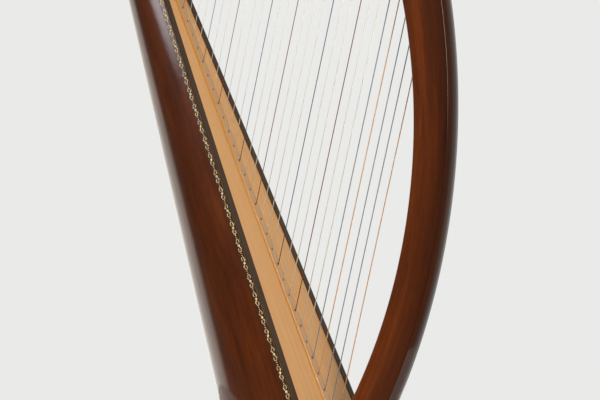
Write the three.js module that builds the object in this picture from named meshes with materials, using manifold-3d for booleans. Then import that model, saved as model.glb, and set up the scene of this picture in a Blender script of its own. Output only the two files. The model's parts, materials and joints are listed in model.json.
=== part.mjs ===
// A 29-string lever harp with a bowed pillar and a round-backed soundbox.
// Millimetres. +X points forward, from the player to the pillar, +Y to the player's left, and +Z up.
// The origin is on the floor, at the middle of the harp's own box.

import * as THREE from "three";
import { mergeVertices } from "three/addons/utils/BufferGeometryUtils.js";
import Module from "manifold-3d";

const wasm = await Module();
wasm.setup();

// ---------------------------------------------------------------- driving dimensions

const GAP = 0.3; // left between pieces that touch
const STRING_COUNT = 29; // string 1 is the shortest, C6, and string 29 the longest, C2
const NYLON_COUNT = 24; // strings 25 to 29 are wound
const NOTES = ["c", "b", "a", "g", "f", "e", "d"]; // going down from string 1
const SHORTEST_STRING = 125;

const FOOT_HEIGHT = 22;
const BASE_THICKNESS = 42;
const BASE_TOP = FOOT_HEIGHT + BASE_THICKNESS;
const BOARD_LEAN = THREE.MathUtils.degToRad(21.8); // soundboard, back from vertical
const STRING_LEAN = THREE.MathUtils.degToRad(12.5); // strings, forward from vertical
const LAST_STRING_X = 0; // where string 29 leaves the soundboard
const LAST_STRING_Z = BASE_TOP + 60;

const BOX_LOW = -60; // soundbox ends, measured up the board from string 29
const BOX_HIGH = 790;
const BOX_SPARE = 12; // drawn past the low end, then cut off level above the base
const BOX_HALF_WIDTH = { low: 139, high: 54, bulge: 4 };
const BOX_DEPTH = { low: 172, high: 73 };
const BACK_SQUARENESS = 2.3; // 2 is an ellipse, more is squarer
const SHELL_THICKNESS = 5;
const BOARD_THICKNESS = 4;
const STRIP_WIDTH = 20;
const STRIP_THICKNESS = 1.5;
const RIB_HALF_WIDTH = 13;
const RIB_THICKNESS = 3;
const RIB_BELOW = 11; // the rib runs on below string 29
const STRING_RISE = 1.1; // from the rib's top to where a string bends towards the neck
const ANCHOR_HALF_WIDTH = 9;
const ANCHOR_THICKNESS = 4;
const STRING_HOLE_RADIUS = 1.7;
const STRING_TAIL_RADIUS = 0.95; // where a string rises through the board
const SOUND_HOLES = [[110, 36], [285, 32], [440, 27], [580, 22]]; // place up the board, half width
const SOUND_HOLE_STRETCH = 1.25; // height to width
const LINER = { width: 11, depth: 12, low: 20, high: BOX_HIGH - 25, fromShell: 1.5 };
const BRACE = { places: { brace_lower: 190, brace_upper: 500 }, width: 14, thickness: 12, belowBoard: 30 };
const BOTTOM_BLOCK_HEIGHT = 36;
const SHOULDER_LENGTH = 45;
const DOWEL = { behindBoard: 34, radius: 7, intoShoulder: 27, intoNeck: 26 };
const HOLE_GAP = 0.5; // round a dowel, bolt or glued block, which are drawn with flats

const PILLAR_RADIUS = 1057.5; // of the bow's middle line
const PILLAR_CENTRE = { x: -892, z: 481 }; // of the bow, from where string 29 leaves the board
const PILLAR_THICKNESS = 44; // across the harp
const PILLAR_HALF_DEPTH = { middle: 31, lean: 0.218, flare: 0.0095 }; // and its change round the bow
const PILLAR_FRONT = { depth: 13, width: 17 }; // of the rounding at each front corner
const PILLAR_BACK_EASE = 4;
const PILLAR_Y = { foot: -18, top: -33 };
const PILLAR_ENDS = { foot: -32, top: 12 }; // degrees round the bow, from its level middle

const NECK_THICKNESS = 44;
const NECK_Y = -33; // middle of the neck: the strings run past its left face
const NECK_LEFT = NECK_Y + NECK_THICKNESS / 2;
const NECK_RIGHT = NECK_Y - NECK_THICKNESS / 2;
const SEMITONE = 0.056; // of a string's length, from its bridge pin to its lever
const BELOW_LEVER = 15; // wood below each lever
const ABOVE_BRIDGE_PIN = 55; // wood above each bridge pin
const NECK_EDGE = 4; // bevel all round
const NECK_SEAT = 66; // how far back the neck reaches on the shoulder block
const HEAD_TIP = { x: 238, z: 846 }; // the neck's foremost point, from string 29's foot
const HEAD_TOP = { x: 208, z: 893 };
const HUMP_ROUND = 14; // rounding of the neck's back end, above the shoulder block

const BRIDGE_PIN_RADIUS = 2.2;
const BRIDGE_PIN_INTO_NECK = 8;
const BRIDGE_PIN_END = 3.5; // past the strings' plane
const TUNING_PIN_RADIUS = 2.5;
const TUNING_PIN_HOLE = 3.1;
const TUNING_PIN_RISE = 34; // above the bridge pin
const TUNING_PIN_AHEAD = 6; // to the bass side of the bridge pin
const TUNING_PIN_END = 6; // past the strings' plane
const KEY_SQUARE = { start: 5, end: 17, halfAtStart: 2.2, halfAtEnd: 1.9 }; // out of the neck's right face
const LEVER_NOTES = ["c", "f"];
const LEVER_ASIDE = 7; // from its pivot to its string
const LEVER_HUB_RADIUS = 3.4;
const LEVER_HANDLE = { inner: 4.4, outer: 7.4, halfWidth: 3.4, shortest: 15, growth: 9 };
const LEVER_CAM_HALF = 2;
const LEVER_END = 8;

const BASE_BACK = -174; // from where string 29 leaves the board
const BASE_FRONT = 92;
const BASE_WAIST = 16; // where the base is widest
const BASE_HALF_WIDTH = 147;
const BASE_PROFILE = [[0, 4], [4, 0], [20, 0], [26, 5], [38, 5], [BASE_THICKNESS, 8]]; // height, inset
const BOLT = { x: 33, radius: 5, headRadius: 10, headHeight: 8, low: FOOT_HEIGHT + 2, high: BASE_TOP + 62 };
const FEET = { front: { x: 52, y: 62 }, back: { x: -122, y: 82 } };

// ---------------------------------------------------------------- materials

function material(color, roughness, metalness = 0) {
  return new THREE.MeshStandardMaterial({ color, roughness, metalness });
}

const mahogany = material(0x5a2312, 0.25);
const spruce = material(0xc98f52, 0.45);
const paleWood = material(0xd9a668, 0.45);
const ebony = material(0x1d1512, 0.35);
const maple = material(0xb98a5a, 0.6);
const steel = material(0xb9bcc0, 0.25, 1);
const brass = material(0xc9a04a, 0.3, 1);
const nylon = material(0xe9e4d8, 0.35);
const wire = material(0xb06a3a, 0.35, 1);
const rubber = material(0x222222, 0.9);

// ---------------------------------------------------------------- solids

const harp = new THREE.Group();

// The soundboard's own frame: x out of the board towards the strings, z up along it from string 29.
const board = new THREE.Group();
board.position.set(LAST_STRING_X, 0, LAST_STRING_Z);
board.rotation.y = -BOARD_LEAN;
board.updateMatrixWorld(true);
harp.add(board);

function addPiece(parent, name, geometry, look) {
  const mesh = new THREE.Mesh(geometry, look);
  mesh.name = name;
  parent.add(mesh);
  return mesh;
}

function toSolid(geometry) {
  const bare = geometry.clone();
  bare.deleteAttribute("normal");
  bare.deleteAttribute("uv");
  const merged = mergeVertices(bare, 1e-4);
  const vertProperties = new Float32Array(merged.attributes.position.array);
  const triVerts = new Uint32Array(merged.index.array);
  return new wasm.Manifold(new wasm.Mesh({ numProp: 3, vertProperties, triVerts }));
}

function toGeometry(solid) {
  const mesh = solid.getMesh();
  const geometry = new THREE.BufferGeometry();
  geometry.setAttribute("position", new THREE.BufferAttribute(mesh.vertProperties, 3));
  geometry.setIndex(new THREE.BufferAttribute(mesh.triVerts, 1));
  geometry.computeVertexNormals();
  return geometry;
}

function signedVolume(points, faces) {
  let volume = 0;
  for (const [a, b, c] of faces) {
    volume += points[a].dot(points[b].clone().cross(points[c])) / 6;
  }
  return volume;
}

// A closed skin through stations of { outline, place }: outlines of equal length, put in space by place.
function loft(stations) {
  const count = stations[0].outline.length;
  const points = stations.flatMap(({ outline, place }) => outline.map(place));
  const faces = [];
  for (let ring = 0; ring + 1 < stations.length; ring += 1) {
    for (let k = 0; k < count; k += 1) {
      const a = ring * count + k;
      const b = ring * count + ((k + 1) % count);
      faces.push([a, b, b + count], [a, b + count, a + count]);
    }
  }
  const last = (stations.length - 1) * count;
  for (const [a, b, c] of THREE.ShapeUtils.triangulateShape(stations[0].outline, [])) {
    faces.push([b, a, c]);
    faces.push([a, b, c].map((k) => k + last));
  }
  const ordered = matchCaps(faces, count, stations.length);
  const outward = signedVolume(points, ordered) > 0 ? ordered : ordered.map(([a, b, c]) => [a, c, b]);
  const geometry = new THREE.BufferGeometry();
  geometry.setFromPoints(points);
  geometry.setIndex(outward.flat());
  geometry.computeVertexNormals();
  return geometry;
}

// Turns the end faces round where they run against the walls that they close.
function matchCaps(faces, count, stationCount) {
  const walls = faces.slice(0, (stationCount - 1) * count * 2);
  const caps = faces.slice(walls.length);
  const wallEdges = new Set(walls.flatMap(([a, b, c]) => [`${a},${b}`, `${b},${c}`, `${c},${a}`]));
  const clash = caps.some(([a, b, c]) => [[a, b], [b, c], [c, a]].some((e) => wallEdges.has(e.join())));
  return walls.concat(clash ? caps.map(([a, b, c]) => [a, c, b]) : caps);
}

function rectangle(xLow, xHigh, yLow, yHigh) {
  const corners = [[xLow, yLow], [xHigh, yLow], [xHigh, yHigh], [xLow, yHigh]];
  return corners.map(([x, y]) => new THREE.Vector2(x, y));
}

function regular(radius, sides, turn = 0) {
  return Array.from({ length: sides }, (_, k) => {
    const angle = turn + (k / sides) * 2 * Math.PI;
    return new THREE.Vector2(radius * Math.cos(angle), radius * Math.sin(angle));
  });
}

// A straight rod between two points.
function rod(from, to, radius, sides) {
  const along = new THREE.Vector3().subVectors(to, from).normalize();
  const turn = new THREE.Quaternion().setFromUnitVectors(new THREE.Vector3(0, 0, 1), along);
  const outline = regular(radius, sides);
  return loft([from, to].map((end) => ({
    outline,
    place: (p) => new THREE.Vector3(p.x, p.y, 0).applyQuaternion(turn).add(end),
  })));
}

function steps(from, to, count) {
  return Array.from({ length: count + 1 }, (_, k) => from + ((to - from) * k) / count);
}

const ALONG_Y = new THREE.Vector3(0, 1, 0);
const UP_IN_BOARD = new THREE.Vector3(Math.sin(BOARD_LEAN), 0, Math.cos(BOARD_LEAN));

// Keeps what stands above a level height, of a solid drawn in the board's frame.
function keepAbove(solid, height) {
  return solid.trimByPlane(UP_IN_BOARD.toArray(), height - LAST_STRING_Z);
}

function keepBelow(solid, height) {
  return solid.trimByPlane(UP_IN_BOARD.clone().negate().toArray(), LAST_STRING_Z - height);
}

function inBoard(p, place) {
  return new THREE.Vector3(p.x, p.y, place);
}

// ---------------------------------------------------------------- string layout

const STRING_WAY = new THREE.Vector3(Math.sin(STRING_LEAN), 0, Math.cos(STRING_LEAN));
const BASS_WAY = new THREE.Vector3(Math.cos(STRING_LEAN), 0, -Math.sin(STRING_LEAN));

// How far up the board a string stands: the spacing closes up a little towards the treble.
function placeOnBoard(string) {
  const n = STRING_COUNT - string;
  return 26.9 * n - 0.0375 * n * n;
}

// Each octave up shortens a string less and less towards the bass.
function stringLength(string) {
  const octaves = (string - 1) / 7;
  return SHORTEST_STRING * 2 ** (0.985 * octaves - 0.0735 * octaves * octaves);
}

function stringRadius(string) {
  const share = (string - 1) / (STRING_COUNT - 1);
  return string > NYLON_COUNT ? 0.85 : 0.35 + 0.5 * share;
}

function stringFoot(string) {
  const height = GAP + RIB_THICKNESS + STRING_RISE;
  return new THREE.Vector3(height, 0, placeOnBoard(string)).applyMatrix4(board.matrixWorld);
}

function alongString(string, length, toBass = 0, y = 0) {
  return stringFoot(string)
    .addScaledVector(STRING_WAY, length)
    .addScaledVector(BASS_WAY, toBass)
    .setY(y);
}

function bridgePoint(string) {
  return alongString(string, stringLength(string));
}

function bridgePinAxis(string) {
  return alongString(string, stringLength(string), BRIDGE_PIN_RADIUS + stringRadius(string) + GAP);
}

function tuningPinAxis(string) {
  return alongString(string, stringLength(string) + TUNING_PIN_RISE, TUNING_PIN_AHEAD);
}

function leverAxis(string) {
  return alongString(string, stringLength(string) * (1 - SEMITONE), -LEVER_ASIDE);
}

function noteName(string) {
  const octave = 6 - Math.floor((string + 5) / 7);
  return NOTES[(string - 1) % 7] + octave;
}

const strings = steps(1, STRING_COUNT, STRING_COUNT - 1);

// ---------------------------------------------------------------- soundbox

function boxShare(place) {
  return (place - BOX_LOW) / (BOX_HIGH - BOX_LOW);
}

function halfWidth(place) {
  const { low, high, bulge } = BOX_HALF_WIDTH;
  const share = boxShare(place);
  return low + (high - low) * share + bulge * Math.sin(Math.PI * Math.min(Math.max(share, 0), 1));
}

function boxDepth(place) {
  return BOX_DEPTH.low + (BOX_DEPTH.high - BOX_DEPTH.low) * boxShare(place);
}

// The round back, from the left edge to the right, closed by a straight front at x = front.
function backOutline(half, depth, front, squareness, sides) {
  return steps(0, Math.PI, sides).map((angle) => {
    const across = Math.cos(angle);
    const y = half * Math.sign(across) * Math.abs(across) ** (2 / squareness);
    return new THREE.Vector2(front - depth * Math.abs(Math.sin(angle)) ** (2 / squareness), y);
  });
}

const RIM = -BOARD_THICKNESS - GAP; // the shell's front edge, under the soundboard

// The soundbox drawn in by inset all round but the front, which reaches past the rim.
function boxSolid(inset, reach = 0, low = BOX_LOW - BOX_SPARE, high = BOX_HIGH) {
  return toSolid(loft(steps(low, high, 10).map((place) => {
    const half = halfWidth(place) - inset;
    const back = backOutline(half, boxDepth(place) - inset, RIM, BACK_SQUARENESS, 20);
    const corners = [new THREE.Vector2(RIM + reach, -half), new THREE.Vector2(RIM + reach, half)];
    return { outline: reach > 0 ? back.concat(corners) : back, place: (p) => inBoard(p, place) };
  })));
}

// Cuts through the back only, from inside the soundbox to well outside it.
function ovalCutter(place, half) {
  const ends = [-boxDepth(place) / 2, -2 * boxDepth(place)];
  const oval = regular(half, 20).map((p) => new THREE.Vector2(p.x, p.y * SOUND_HOLE_STRETCH));
  return toSolid(loft(ends.map((x) => ({
    outline: oval,
    place: (p) => new THREE.Vector3(x, p.x, place + p.y),
  }))));
}

function makeShell() {
  const inside = boxSolid(SHELL_THICKNESS, SHELL_THICKNESS, BOX_LOW - 3 * BOX_SPARE, BOX_HIGH + BOX_SPARE);
  let shell = boxSolid(0).subtract(inside);
  for (const [place, half] of SOUND_HOLES) {
    shell = shell.subtract(ovalCutter(place, half));
  }
  return toGeometry(keepAbove(shell, BASE_TOP + GAP));
}

// A flat strip on the board between two edges that follow the soundbox's outline.
function boardStrip(low, high, xLow, xHigh, edges, count = 8) {
  return toSolid(loft(steps(low, high, count).map((place) => {
    const [yLow, yHigh] = edges(place);
    return { outline: rectangle(xLow, xHigh, yLow, yHigh), place: (p) => inBoard(p, place) };
  })));
}

// Cuts a hole straight through at each string's place.
function drillForStrings(solid) {
  const reach = BOARD_THICKNESS + RIB_THICKNESS + 1;
  const holes = strings.map((string) => {
    const ends = [-reach, reach].map((x) => new THREE.Vector3(x, 0, placeOnBoard(string)));
    return toSolid(rod(...ends, STRING_HOLE_RADIUS, 6));
  });
  return holes.reduce((rest, hole) => rest.subtract(hole), solid);
}

function makeSoundboard() {
  const edges = (place) => [-halfWidth(place), halfWidth(place)];
  const plate = boardStrip(BOX_LOW - BOX_SPARE, BOX_HIGH, -BOARD_THICKNESS, 0, edges);
  return toGeometry(keepAbove(drillForStrings(plate), BASE_TOP + GAP));
}

function makeStringRib() {
  const edges = () => [-RIB_HALF_WIDTH, RIB_HALF_WIDTH];
  return toGeometry(drillForStrings(boardStrip(-RIB_BELOW, BOX_HIGH, GAP, GAP + RIB_THICKNESS, edges, 1)));
}

// The two edges of a strip of this width on one side of the harp, its outer edge at this half width.
function sideEdges(side, outer, width) {
  return [side * outer, side * (outer - width)].sort((a, b) => a - b);
}

function makeEdgeStrip(side) {
  const edges = (place) => sideEdges(side, halfWidth(place), STRIP_WIDTH);
  const strip = boardStrip(BOX_LOW - BOX_SPARE, BOX_HIGH, GAP, GAP + STRIP_THICKNESS, edges);
  return toGeometry(keepAbove(strip, BASE_TOP + GAP));
}

// Strips that stiffen the glued joint between the soundboard and the shell.
function makeLiner(side) {
  const edges = (place) => sideEdges(side, halfWidth(place) - SHELL_THICKNESS - LINER.fromShell, LINER.width);
  return toGeometry(boardStrip(LINER.low, LINER.high, RIM - LINER.depth, RIM - GAP, edges));
}

// A bow of wood across the inside of the shell.
function makeBrace(place) {
  const bow = boxSolid(SHELL_THICKNESS + GAP)
    .subtract(boxSolid(SHELL_THICKNESS + BRACE.thickness, SHELL_THICKNESS))
    .trimByPlane([-1, 0, 0], BRACE.belowBoard)
    .trimByPlane([0, 0, 1], place)
    .trimByPlane([0, 0, -1], -(place + BRACE.width));
  return toGeometry(bow);
}

// A solid block that fills the foot of the soundbox and is screwed to the base.
function makeBottomBlock() {
  const block = boxSolid(SHELL_THICKNESS + HOLE_GAP).trimByPlane([-1, 0, 0], GAP - RIM);
  return toGeometry(keepBelow(keepAbove(block, BASE_TOP + GAP), BASE_TOP + BOTTOM_BLOCK_HEIGHT));
}

function dowelRod(spareRadius = 0, spareLength = 0) {
  const joint = BOX_HIGH + SHOULDER_LENGTH;
  const ends = [joint - DOWEL.intoShoulder - spareLength, joint + DOWEL.intoNeck + spareLength];
  const points = ends.map((place) => new THREE.Vector3(-DOWEL.behindBoard, NECK_Y, place));
  return rod(...points, DOWEL.radius + spareRadius, 12);
}

// The block that closes the top of the soundbox and carries the treble end of the neck.
function makeShoulder() {
  const half = halfWidth(BOX_HIGH);
  const depth = boxDepth(BOX_HIGH) - RIM;
  const top = SHOULDER_LENGTH - GAP;
  // Height above the soundbox, flare outward, and squareness gained.
  const profile = [[GAP, 0, 0], [4, 3, 0.12], [16, 5, 0.48], [32, 5, 0.96], [40, 3, 1.2], [top, -1, 1.2]];
  const stations = profile.map(([height, flare, squarer]) => ({
    outline: backOutline(half + flare, depth + 2 * flare, flare, BACK_SQUARENESS + squarer, 20),
    place: (p) => inBoard(p, BOX_HIGH + height),
  }));
  return toGeometry(toSolid(loft(stations)).subtract(toSolid(dowelRod(HOLE_GAP, GAP))));
}

addPiece(board, "soundbox_shell", makeShell(), mahogany);
addPiece(board, "soundboard", makeSoundboard(), spruce);
addPiece(board, "string_rib", makeStringRib(), paleWood);
addPiece(board, "edge_strip_left", makeEdgeStrip(1), ebony);
addPiece(board, "edge_strip_right", makeEdgeStrip(-1), ebony);
addPiece(board, "liner_left", makeLiner(1), maple);
addPiece(board, "liner_right", makeLiner(-1), maple);
for (const [name, place] of Object.entries(BRACE.places)) {
  addPiece(board, name, makeBrace(place), maple);
}
addPiece(board, "bottom_block", makeBottomBlock(), maple);
addPiece(board, "shoulder_block", makeShoulder(), mahogany);
addPiece(board, "neck_dowel", dowelRod(), maple);

// ---------------------------------------------------------------- strings

// A round rod that bends at each of its points, which all lie in the plane of the strings.
function bentRod(points, radii, sides) {
  const ways = points.slice(1).map((point, k) => point.clone().sub(points[k]).normalize());
  return loft(points.map((point, k) => {
    const before = ways[Math.max(k - 1, 0)];
    const after = ways[Math.min(k, ways.length - 1)];
    const through = before.clone().add(after).normalize();
    const aside = new THREE.Vector3().crossVectors(ALONG_Y, through).divideScalar(through.dot(after));
    return {
      outline: regular(radii[k], sides),
      place: (p) => point.clone().addScaledVector(ALONG_Y, p.x).addScaledVector(aside, p.y),
    };
  }));
}

// The strip that the strings are knotted under, joined with the strings that it holds.
function makeStringSet(chosen) {
  const pastLastKnot = 11;
  const low = placeOnBoard(chosen.at(-1)) - pastLastKnot;
  const high = placeOnBoard(chosen[0]) + pastLastKnot;
  const edges = () => [-ANCHOR_HALF_WIDTH, ANCHOR_HALF_WIDTH];
  const strip = boardStrip(low, high, RIM - ANCHOR_THICKNESS, RIM, edges, 1);
  let set = toSolid(toGeometry(strip).applyMatrix4(board.matrixWorld));
  for (const string of chosen) {
    const radius = stringRadius(string);
    const knot = new THREE.Vector3(RIM - 1, 0, placeOnBoard(string)).applyMatrix4(board.matrixWorld);
    const wind = tuningPinAxis(string).addScaledVector(BASS_WAY, -(TUNING_PIN_RADIUS + radius + GAP));
    const path = [knot, stringFoot(string), bridgePoint(string), wind];
    set = set.add(toSolid(bentRod(path, [STRING_TAIL_RADIUS, radius, radius, radius], 5)));
  }
  return toGeometry(set);
}

addPiece(harp, "nylon_strings", makeStringSet(strings.slice(0, NYLON_COUNT)), nylon);
addPiece(harp, "wound_strings", makeStringSet(strings.slice(NYLON_COUNT)), wire);

// ---------------------------------------------------------------- neck

function fromLastString(x, z) {
  return new THREE.Vector2(LAST_STRING_X + x, LAST_STRING_Z + z);
}

function flat(point) {
  return new THREE.Vector2(point.x, point.z);
}

function boardPoint(x, place) {
  return flat(new THREE.Vector3(x, 0, place).applyMatrix4(board.matrixWorld));
}

// The pillar is a little deeper towards both ends.
function pillarHalfDepth(degrees) {
  const { middle, lean, flare } = PILLAR_HALF_DEPTH;
  return middle + lean * degrees + flare * degrees * degrees;
}

// A point of the bow, in side view: out is forward of its middle line, and past is along it, upward.
function bowPoint(out, degrees, past = 0) {
  const angle = THREE.MathUtils.degToRad(degrees);
  const radius = PILLAR_RADIUS + out;
  return fromLastString(
    PILLAR_CENTRE.x + radius * Math.cos(angle) - past * Math.sin(angle),
    PILLAR_CENTRE.z + radius * Math.sin(angle) + past * Math.cos(angle),
  );
}

function lowerEdge(string) {
  return flat(alongString(string, stringLength(string) * (1 - SEMITONE) - BELOW_LEVER));
}

function upperEdge(string) {
  return flat(alongString(string, stringLength(string) + ABOVE_BRIDGE_PIN));
}

// The harmonic curve, the heel on the pillar, the head and the hump over the shoulder, as a side view.
function neckOutline() {
  const seat = BOX_HIGH + SHOULDER_LENGTH;
  const shoulderFront = boardPoint(0, seat);
  const seatBack = boardPoint(HUMP_ROUND - NECK_SEAT, seat);
  const humpBack = boardPoint(-NECK_SEAT, seat + HUMP_ROUND);
  const seatCorner = boardPoint(-NECK_SEAT, seat);
  const heelBack = bowPoint(-pillarHalfDepth(PILLAR_ENDS.top), PILLAR_ENDS.top, GAP);
  const heelFront = bowPoint(pillarHalfDepth(PILLAR_ENDS.top), PILLAR_ENDS.top, GAP);
  const headTip = fromLastString(HEAD_TIP.x, HEAD_TIP.z);
  const headTop = fromLastString(HEAD_TOP.x, HEAD_TOP.z);
  const hump = upperEdge(1);
  const outline = new THREE.Shape();
  outline.moveTo(seatBack.x, seatBack.y);
  outline.lineTo(shoulderFront.x, shoulderFront.y);
  outline.splineThru([1, 4, 8, 12, 16, 20, 22].map(lowerEdge));
  outline.bezierCurveTo(
    heelBack.x - 40, heelBack.y + 37,
    heelBack.x - 7, heelBack.y + 32,
    heelBack.x, heelBack.y,
  );
  outline.lineTo(heelFront.x, heelFront.y);
  outline.bezierCurveTo(
    heelFront.x - 11, heelFront.y + 50,
    headTip.x - 24, headTip.y - 62,
    headTip.x, headTip.y,
  );
  outline.bezierCurveTo(
    headTip.x + 10, headTip.y + 28,
    headTop.x + 26, headTop.y + 12,
    headTop.x, headTop.y,
  );
  outline.splineThru([26, 22, 18, 14, 10, 6, 3, 1].map(upperEdge));
  outline.bezierCurveTo(
    hump.x - 30, hump.y + 12,
    humpBack.x - 6, humpBack.y + 78,
    humpBack.x, humpBack.y,
  );
  outline.quadraticCurveTo(seatCorner.x, seatCorner.y, seatBack.x, seatBack.y);
  return outline;
}

function makeNeck() {
  const slab = new THREE.ExtrudeGeometry(neckOutline(), {
    depth: NECK_THICKNESS - 2 * NECK_EDGE,
    curveSegments: 5,
    bevelThickness: NECK_EDGE,
    bevelSize: NECK_EDGE,
    bevelOffset: -NECK_EDGE,
    bevelSegments: 2,
  });
  // The outline was drawn in X and Y, so it is stood up: its depth then runs along -Y.
  slab.rotateX(Math.PI / 2);
  slab.translate(0, NECK_LEFT - NECK_EDGE, 0);
  const rodAcross = (axis, from, to, radius, sides) => (
    toSolid(rod(axis.clone().setY(from), axis.clone().setY(to), radius, sides))
  );
  let neck = toSolid(slab);
  for (const string of strings) {
    const hole = rodAcross(tuningPinAxis(string), NECK_RIGHT - 5, NECK_LEFT + 5, TUNING_PIN_HOLE, 8);
    const inside = NECK_LEFT - BRIDGE_PIN_INTO_NECK;
    const bridgePin = rodAcross(bridgePinAxis(string), inside, BRIDGE_PIN_END, BRIDGE_PIN_RADIUS, 6);
    neck = neck.subtract(hole).add(bridgePin);
  }
  const dowelHole = dowelRod(HOLE_GAP, GAP).applyMatrix4(board.matrixWorld);
  return toGeometry(neck.subtract(toSolid(dowelHole)));
}

addPiece(harp, "neck", makeNeck(), mahogany);

// ---------------------------------------------------------------- pillar

// Flat sides, a rounded front and slightly eased back corners.
function pillarOutline(half) {
  const side = PILLAR_THICKNESS / 2;
  const { depth, width } = PILLAR_FRONT;
  const front = steps(0, Math.PI / 2, 3).map((turn) => (
    new THREE.Vector2(half - depth + depth * Math.cos(turn), side - width + width * Math.sin(turn))
  ));
  const eased = [[-half + PILLAR_BACK_EASE, side], [-half, side - PILLAR_BACK_EASE]];
  const left = front.concat(eased.map(([x, y]) => new THREE.Vector2(x, y)));
  const right = left.toReversed().map((p) => new THREE.Vector2(p.x, -p.y));
  return left.concat(right);
}

function boltHole(radius, high) {
  const ends = [0, high].map((z) => new THREE.Vector3(fromLastString(BOLT.x, 0).x, PILLAR_Y.foot, z));
  return toSolid(rod(...ends, radius + HOLE_GAP, 12));
}

function makePillar() {
  const { foot, top } = PILLAR_ENDS;
  const stations = steps(foot, top, 22).map((degrees) => {
    const share = (degrees - foot) / (top - foot);
    const middle = PILLAR_Y.foot + (PILLAR_Y.top - PILLAR_Y.foot) * share;
    return {
      outline: pillarOutline(pillarHalfDepth(degrees)),
      place: (p) => {
        const point = bowPoint(p.x, degrees);
        return new THREE.Vector3(point.x, middle + p.y, point.y);
      },
    };
  });
  const boardOut = new THREE.Vector3(Math.cos(BOARD_LEAN), 0, Math.sin(BOARD_LEAN));
  const pillar = toSolid(loft(stations))
    .trimByPlane([0, 0, 1], BASE_TOP + GAP)
    .trimByPlane(boardOut.toArray(), boardOut.dot(board.position) + GAP);
  return toGeometry(pillar.subtract(boltHole(BOLT.radius, BOLT.high + GAP)));
}

addPiece(harp, "pillar", makePillar(), mahogany);

// ---------------------------------------------------------------- base and feet

// An egg-shaped plan: wide under the soundbox and narrower under the pillar.
function baseOutline(inset) {
  const half = BASE_HALF_WIDTH - inset;
  const lengthwise = 1 - inset / ((BASE_FRONT - BASE_BACK) / 2);
  const back = backOutline(half, (BASE_WAIST - BASE_BACK) * lengthwise, BASE_WAIST, BACK_SQUARENESS, 24);
  const front = steps(0, Math.PI, 14).slice(1, -1).map((angle) => {
    const reach = (BASE_FRONT - BASE_WAIST) * lengthwise * Math.sin(angle) ** 1.1;
    return new THREE.Vector2(BASE_WAIST + reach, -half * Math.cos(angle));
  });
  return back.concat(front);
}

function makeBase() {
  const stations = BASE_PROFILE.map(([height, inset]) => ({
    outline: baseOutline(inset),
    place: (p) => new THREE.Vector3(fromLastString(p.x, 0).x, p.y, FOOT_HEIGHT + height),
  }));
  const shankHole = boltHole(BOLT.radius, BASE_TOP + GAP);
  const headHole = boltHole(BOLT.headRadius, BOLT.low + BOLT.headHeight + GAP);
  return toGeometry(toSolid(loft(stations)).subtract(shankHole).subtract(headHole));
}

// Turned about Z from a side profile of [radius, height], with flat ends.
function turned(profile, sides) {
  const closed = [[0, profile[0][1]], ...profile, [0, profile.at(-1)[1]]];
  return new THREE.LatheGeometry(closed.map(([x, y]) => new THREE.Vector2(x, y)), sides).rotateX(Math.PI / 2);
}

function makeBolt() {
  const { radius, headRadius, headHeight, low, high } = BOLT;
  const length = high - low;
  return turned([[headRadius, 0], [headRadius, headHeight], [radius, headHeight], [radius, length]], 12);
}

function makeFoot() {
  return turned([[13, 0], [17, 4], [19, 11], [16, 17], [13, FOOT_HEIGHT - GAP]], 16);
}

addPiece(harp, "base", makeBase(), mahogany);
const bolt = addPiece(harp, "pillar_bolt", makeBolt(), steel);
bolt.position.set(fromLastString(BOLT.x, 0).x, PILLAR_Y.foot, BOLT.low);
for (const [end, { x, y }] of Object.entries(FEET)) {
  for (const [sideName, side] of [["left", 1], ["right", -1]]) {
    const foot = addPiece(harp, `foot_${end}_${sideName}`, makeFoot(), rubber);
    foot.position.set(fromLastString(x, 0).x, side * y, 0);
  }
}

// ---------------------------------------------------------------- sharping levers

// At rest the handle points down towards the player, and the cam lies clear of its string.
const LEVER_REST = THREE.MathUtils.degToRad(135);
const LEVER_THROW = THREE.MathUtils.degToRad(90); // raises the handle and turns the cam to the string

// A cam beside the string and a handle outside it, on one spindle. The handle points along +x at rest.
function makeLever(string) {
  const camTurn = LEVER_REST + LEVER_THROW - STRING_LEAN; // so that the raised cam faces the string
  const reach = LEVER_ASIDE - stringRadius(string) - GAP;
  const { inner, outer, halfWidth: half, shortest, growth } = LEVER_HANDLE;
  const tip = shortest + growth * (stringLength(string) / stringLength(STRING_COUNT)) - half;
  const spindleEnds = [NECK_LEFT + GAP, LEVER_END].map((y) => new THREE.Vector3(0, y, 0));
  const spindle = rod(...spindleEnds, LEVER_HUB_RADIUS, 10);
  const cam = steps(0, 2 * Math.PI, 12).slice(0, -1).map((angle) => {
    const bulge = Math.max(0, Math.cos(angle - camTurn)) ** 2;
    const radius = LEVER_HUB_RADIUS + (reach - LEVER_HUB_RADIUS) * bulge;
    return new THREE.Vector2(radius * Math.cos(angle), radius * Math.sin(angle));
  });
  const grip = new THREE.Shape();
  grip.moveTo(0, -0.75 * half);
  grip.lineTo(tip, -half);
  grip.absarc(tip, 0, half, -Math.PI / 2, Math.PI / 2, false);
  grip.lineTo(0, 0.75 * half);
  const slab = (outline, low, high) => toSolid(loft([low, high].map((y) => ({
    outline,
    place: (p) => new THREE.Vector3(p.x, y, p.y),
  }))));
  return toGeometry(
    toSolid(spindle)
      .add(slab(cam, -LEVER_CAM_HALF, LEVER_CAM_HALF))
      .add(slab(grip.getPoints(4), inner, outer)),
  );
}

for (const string of strings.filter((s) => LEVER_NOTES.includes(NOTES[(s - 1) % 7]))) {
  const lever = addPiece(harp, `lever_${noteName(string)}`, makeLever(string), brass);
  lever.position.copy(leverAxis(string));
  lever.setRotationFromAxisAngle(ALONG_Y, LEVER_REST);
}

// ---------------------------------------------------------------- tuning pins

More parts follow.
